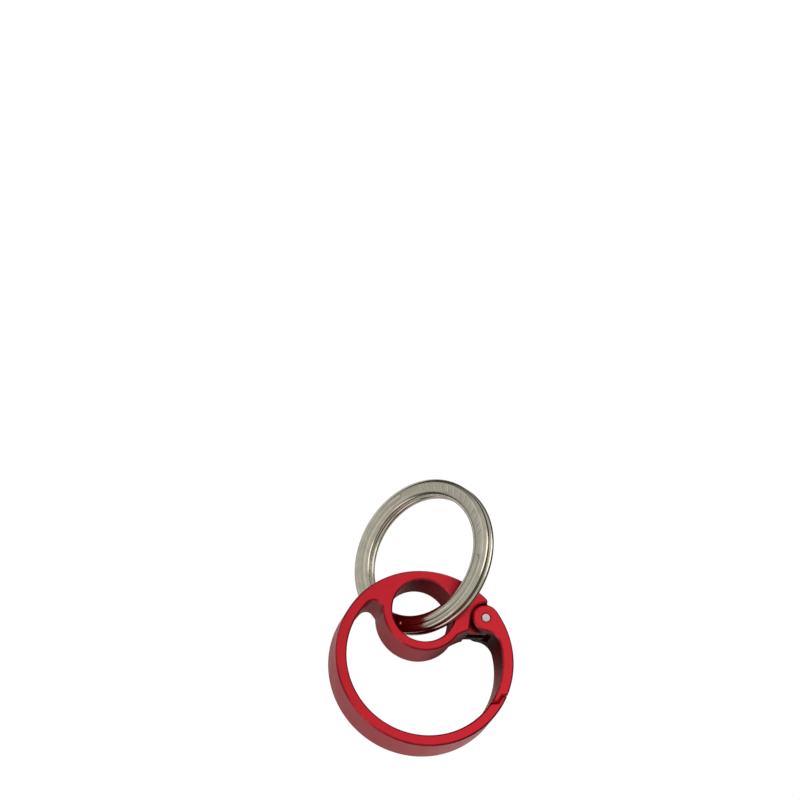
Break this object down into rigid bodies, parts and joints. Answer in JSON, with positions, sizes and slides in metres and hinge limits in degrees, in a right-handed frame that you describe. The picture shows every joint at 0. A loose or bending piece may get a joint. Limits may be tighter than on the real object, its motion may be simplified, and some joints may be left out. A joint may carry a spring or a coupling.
{
  "type": "carabiner keyring",
  "caption": "Round aluminium carabiner with an eye, a sprung forked gate on a pin, and a twisted split ring held in the eye.",
  "frame": {"origin": "centre of the round frame, half way through its thickness", "axes": "+Y from the centre through the eye that holds the split ring, +Z along the frame's axis towards its front face, +X towards the gate"},
  "size_m": [0.04, 0.0626, 0.0276],
  "materials": {
    "anodised_red": "satin red anodised aluminium",
    "anodised_red_gate": "satin red anodised aluminium",
    "pin_steel": "ground steel",
    "spring_steel": "drawn spring wire",
    "nickel": "polished nickel-plated steel"
  },
  "bodies": {
    "frame": {"frame": "anodised_red", "gate_spring": "spring_steel"},
    "gate": {"gate": "anodised_red_gate", "hinge_pin": "pin_steel"},
    "split_ring": {"split_ring": "nickel"}
  },
  "joints": [
    {"name": "gate_hinge", "type": "hinge", "parent": "frame", "child": "gate", "pos_m": [0.01399, 0.00965, 0], "axis": [0, 0, -1], "range_deg": [0, 55], "stiffness_Nm_per_rad": 0.02, "springref_deg": -85.94, "deforming": ["gate_spring"]},
    {"name": "ring_turn", "type": "hinge", "parent": "frame", "child": "split_ring", "pos_m": [0, 0.02468, 0], "axis": [0, -1, 0], "range_deg": [0, 84]}
  ]
}
